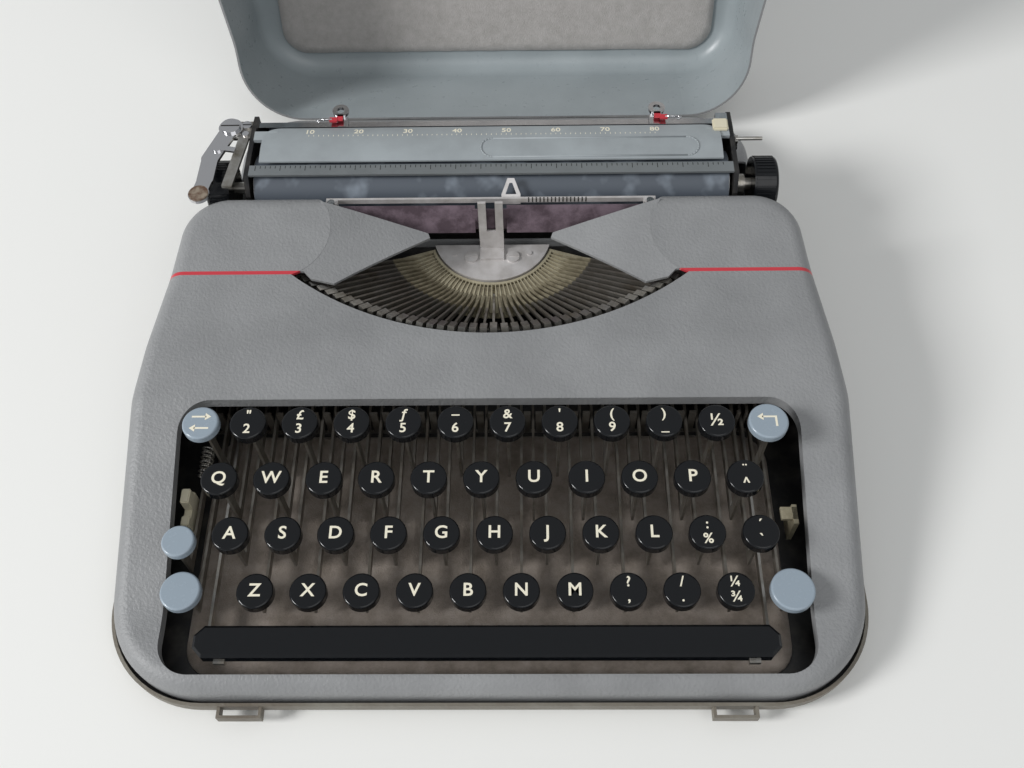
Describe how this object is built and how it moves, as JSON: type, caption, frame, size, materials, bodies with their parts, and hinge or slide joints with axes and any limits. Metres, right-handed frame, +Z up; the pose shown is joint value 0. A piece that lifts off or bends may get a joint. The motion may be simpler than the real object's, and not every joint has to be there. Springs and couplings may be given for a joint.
{
  "type": "portable typewriter in its case",
  "caption": "Portable typewriter standing in the lower half of its grey case, with the felt-lined lid open behind it and the ribbon cover lifted off.",
  "frame": {"origin": "bottom centre of the bounding box at rest, with the lid open, on the desk under the feet", "axes": "+X to the typist's right, +Y from the typist towards the open lid, +Z up"},
  "size_m": [0.281, 0.417, 0.2907],
  "materials": {
    "grey_paint": "wrinkle",
    "red_paint": "gloss",
    "black_paint": "satin",
    "steel": "satin",
    "chrome": "polished",
    "brass": "tarnished",
    "black_plastic": "gloss",
    "blue_plastic": "gloss",
    "platen_rubber": "matte",
    "foot_rubber": "matte",
    "felt": "matte",
    "ribbon_cloth": "matte"
  },
  "bodies": {
    "base": {"base_tray": "grey_paint", "base_felt": "felt", "rubber_feet": "foot_rubber", "hinge_leaves": "steel", "latch_keepers": "steel", "front_shell": "grey_paint", "ribbon_cover": "grey_paint", "rear_cover": "grey_paint", "trim_stripes": "red_paint", "machine_frame": "black_paint", "fulcrum_shaft": "steel", "key_comb": "steel", "segment": "brass", "segment_plate": "steel", "typebars": "steel", "type_slugs": "steel", "type_rest": "black_paint", "type_guide": "chrome", "ribbon_posts": "chrome", "ribbon": "ribbon_cloth", "line_gauge": "chrome", "carriage_rails": "steel", "mainspring_drum": "black_paint"},
    "lid": {"lid_shell": "grey_paint", "lid_felt": "felt", "lid_fittings": "steel"},
    "latch_left_body": {"latch_left": "steel"},
    "latch_right_body": {"latch_right": "steel"},
    "handle": {"carry_handle": "black_plastic"},
    "carriage": {"carriage_frame": "black_paint", "paper_table": "grey_paint", "scale_rail": "chrome", "margin_rail": "chrome", "lever_bracket": "steel", "carriage_rack": "steel"},
    "platen_body": {"platen": "platen_rubber", "platen_knobs": "black_plastic"},
    "margin_left": {"margin_stop_left": "steel"},
    "margin_right": {"margin_stop_right": "steel"},
    "return_lever_body": {"return_lever": "chrome"},
    "paper_release": {"paper_release_lever": "steel"},
    "number_row": {"number_row_keys": "black_plastic", "number_row_levers": "steel"},
    "top_row": {"top_row_keys": "black_plastic", "top_row_levers": "steel"},
    "home_row": {"home_row_keys": "black_plastic", "home_row_levers": "steel"},
    "bottom_row": {"bottom_row_keys": "black_plastic", "bottom_row_levers": "steel"},
    "h_lever": {"h_key": "black_plastic"},
    "h_typebar": {"typebar_h": "steel"},
    "space_key": {"space_bar": "black_plastic", "space_bar_arms": "steel"},
    "shift_left": {"shift_key_left": "blue_plastic"},
    "shift_right": {"shift_key_right": "blue_plastic"},
    "shift_lock": {"shift_lock_key": "blue_plastic"},
    "arrow_lever": {"arrow_key": "blue_plastic"},
    "backspace_lever": {"backspace_key": "blue_plastic"},
    "spool_left": {"ribbon_spool_left": "steel"},
    "spool_right": {"ribbon_spool_right": "steel"}
  },
  "joints": [
    {"name": "lid_hinge", "type": "hinge", "parent": "base", "child": "lid", "pos_m": [0, 0.08168, 0.01015], "axis": [1, 0, 0], "range_deg": [0, 105.66]},
    {"name": "latch_left_slide", "type": "slide", "parent": "lid", "child": "latch_left_body", "axis": [0, -0.9629, 0.27], "range_m": [0, 0.0055]},
    {"name": "latch_right_slide", "type": "slide", "parent": "lid", "child": "latch_right_body", "axis": [0, -0.9629, 0.27], "range_m": [0, 0.0055]},
    {"name": "handle_hinge", "type": "hinge", "parent": "lid", "child": "handle", "pos_m": [0, 0.183, 0.28319], "axis": [-1, 0, 0], "range_deg": [0, 90]},
    {"name": "carriage_slide", "type": "slide", "parent": "base", "child": "carriage", "axis": [1, 0, 0], "range_m": [-0.095, 0]},
    {"name": "platen_turn", "type": "hinge", "parent": "carriage", "child": "platen_body", "pos_m": [0, 0.01093, 0.042], "axis": [1, 0, 0], "continuous": true},
    {"name": "margin_left_slide", "type": "slide", "parent": "carriage", "child": "margin_left", "axis": [1, 0, 0], "range_m": [-0.02, 0.02]},
    {"name": "margin_right_slide", "type": "slide", "parent": "carriage", "child": "margin_right", "axis": [1, 0, 0], "range_m": [-0.02, 0.02]},
    {"name": "return_lever_hinge", "type": "hinge", "parent": "carriage", "child": "return_lever_body", "pos_m": [-0.113, 0.03093, 0.0572], "axis": [0, 0, 1], "range_deg": [0, 15]},
    {"name": "paper_release_hinge", "type": "hinge", "parent": "carriage", "child": "paper_release", "pos_m": [0.1051, 0.02493, 0.05], "axis": [1, 0, 0], "range_deg": [0, 20]},
    {"name": "number_row_hinge", "type": "hinge", "parent": "base", "child": "number_row", "pos_m": [0, -0.04707, 0.013], "axis": [1, 0, 0], "range_deg": [0, 3.9], "stiffness_Nm_per_rad": 0.3, "springref_deg": -11.46},
    {"name": "top_row_hinge", "type": "hinge", "parent": "base", "child": "top_row", "pos_m": [0, -0.04707, 0.013], "axis": [1, 0, 0], "range_deg": [0, 3], "stiffness_Nm_per_rad": 0.3, "springref_deg": -11.46},
    {"name": "home_row_hinge", "type": "hinge", "parent": "base", "child": "home_row", "pos_m": [0, -0.04707, 0.013], "axis": [1, 0, 0], "range_deg": [0, 2.5], "stiffness_Nm_per_rad": 0.35, "springref_deg": -11.46},
    {"name": "bottom_row_hinge", "type": "hinge", "parent": "base", "child": "bottom_row", "pos_m": [0, -0.04707, 0.013], "axis": [1, 0, 0], "range_deg": [0, 2.1], "stiffness_Nm_per_rad": 0.4, "springref_deg": -11.46},
    {"name": "h_key_hinge", "type": "hinge", "parent": "base", "child": "h_lever", "pos_m": [0, -0.04707, 0.013], "axis": [1, 0, 0], "range_deg": [0, 2.5], "stiffness_Nm_per_rad": 0.06, "springref_deg": -11.46},
    {"name": "space_bar_hinge", "type": "hinge", "parent": "base", "child": "space_key", "pos_m": [0, -0.04707, 0.013], "axis": [1, 0, 0], "range_deg": [0, 1.8], "stiffness_Nm_per_rad": 0.3, "springref_deg": -11.46},
    {"name": "shift_left_hinge", "type": "hinge", "parent": "base", "child": "shift_left", "pos_m": [0, -0.04707, 0.013], "axis": [1, 0, 0], "range_deg": [0, 2.1], "stiffness_Nm_per_rad": 0.1, "springref_deg": -11.46},
    {"name": "shift_right_hinge", "type": "hinge", "parent": "base", "child": "shift_right", "pos_m": [0, -0.04707, 0.013], "axis": [1, 0, 0], "range_deg": [0, 2.1], "stiffness_Nm_per_rad": 0.1, "springref_deg": -11.46},
    {"name": "shift_lock_hinge", "type": "hinge", "parent": "base", "child": "shift_lock", "pos_m": [0, -0.04707, 0.013], "axis": [1, 0, 0], "range_deg": [0, 2.3], "stiffness_Nm_per_rad": 0.06, "springref_deg": -11.46},
    {"name": "arrow_hinge", "type": "hinge", "parent": "base", "child": "arrow_lever", "pos_m": [0, -0.04707, 0.013], "axis": [1, 0, 0], "range_deg": [0, 3.5], "stiffness_Nm_per_rad": 0.06, "springref_deg": -11.46},
    {"name": "backspace_hinge", "type": "hinge", "parent": "base", "child": "backspace_lever", "pos_m": [0, -0.04707, 0.013], "axis": [1, 0, 0], "range_deg": [0, 3.5], "stiffness_Nm_per_rad": 0.06, "springref_deg": -11.46},
    {"name": "typebar_h_hinge", "type": "hinge", "parent": "base", "child": "h_typebar", "pos_m": [0.00096, -0.03556, 0.0237], "axis": [-0.9996, -0.0289, 0], "range_deg": [0, 96]},
    {"name": "spool_left_turn", "type": "hinge", "parent": "base", "child": "spool_left", "pos_m": [-0.0875, -0.02557, 0.029], "axis": [0, 0, 1], "continuous": true},
    {"name": "spool_right_turn", "type": "hinge", "parent": "base", "child": "spool_right", "pos_m": [0.0875, -0.02557, 0.029], "axis": [0, 0, 1], "continuous": true}
  ],
  "couplings": [
    {"joint": "shift_right_hinge", "follows": "shift_left_hinge", "ratio": 1},
    {"joint": "typebar_h_hinge", "follows": "h_key_hinge", "ratio": 38.4},
    {"joint": "spool_right_turn", "follows": "spool_left_turn", "ratio": 1}
  ]
}
